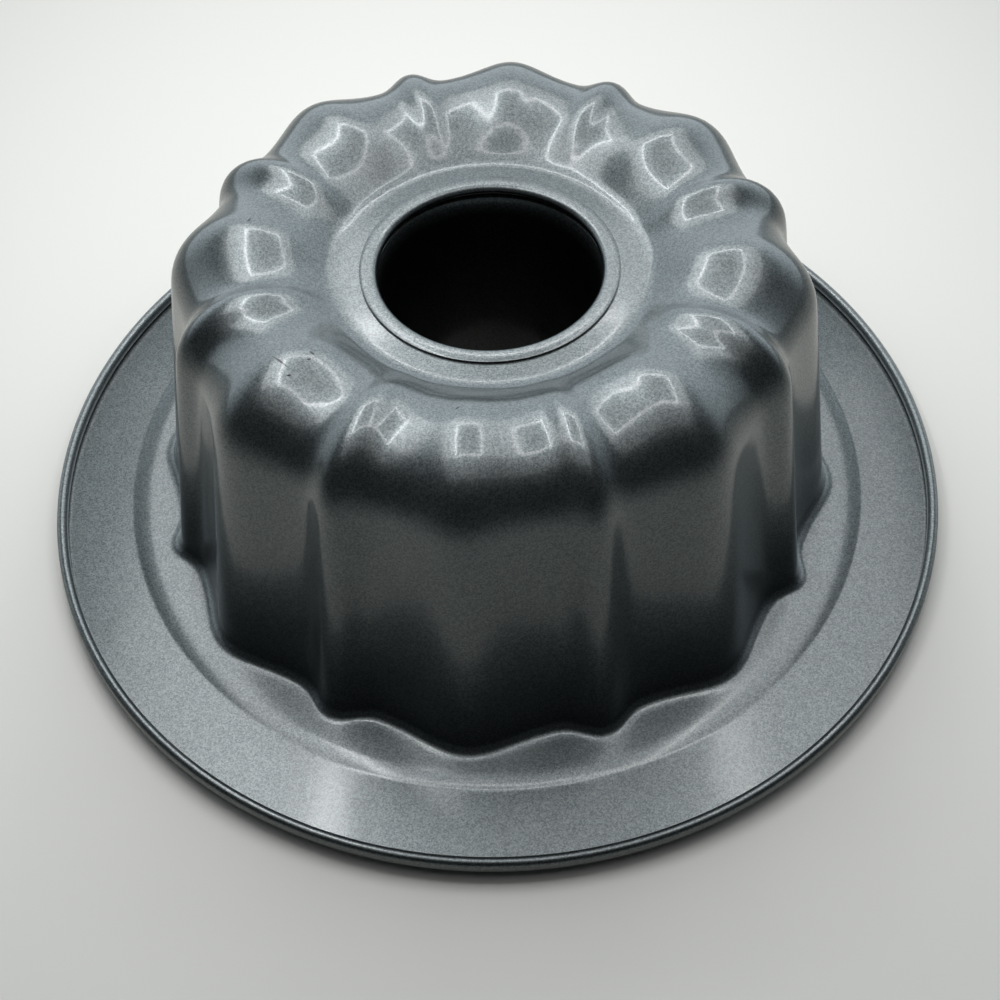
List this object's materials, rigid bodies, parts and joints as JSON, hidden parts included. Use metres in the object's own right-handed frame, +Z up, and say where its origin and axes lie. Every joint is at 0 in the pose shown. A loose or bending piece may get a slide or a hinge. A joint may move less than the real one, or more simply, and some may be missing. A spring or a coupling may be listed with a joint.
{
  "type": "fluted tube pan",
  "caption": "Ring-shaped baking pan with a fluted pressed shell, a wide flange with a rolled rim and a separate open centre tube, standing mouth down.",
  "frame": {"origin": "on the pan's axis at the level of the table that the end of the centre tube stands on", "axes": "+Z up along the pan's axis, out of the crown; +Y to the back of the picture and +X to its right"},
  "size_m": [0.3048, 0.3048, 0.115],
  "materials": {
    "shell_coating": "speckled dark grey non-stick coating, satin",
    "tube_coating": "speckled dark grey non-stick coating, satin"
  },
  "bodies": {
    "root": {"fluted_shell": "shell_coating", "centre_tube": "tube_coating"}
  },
  "joints": []
}
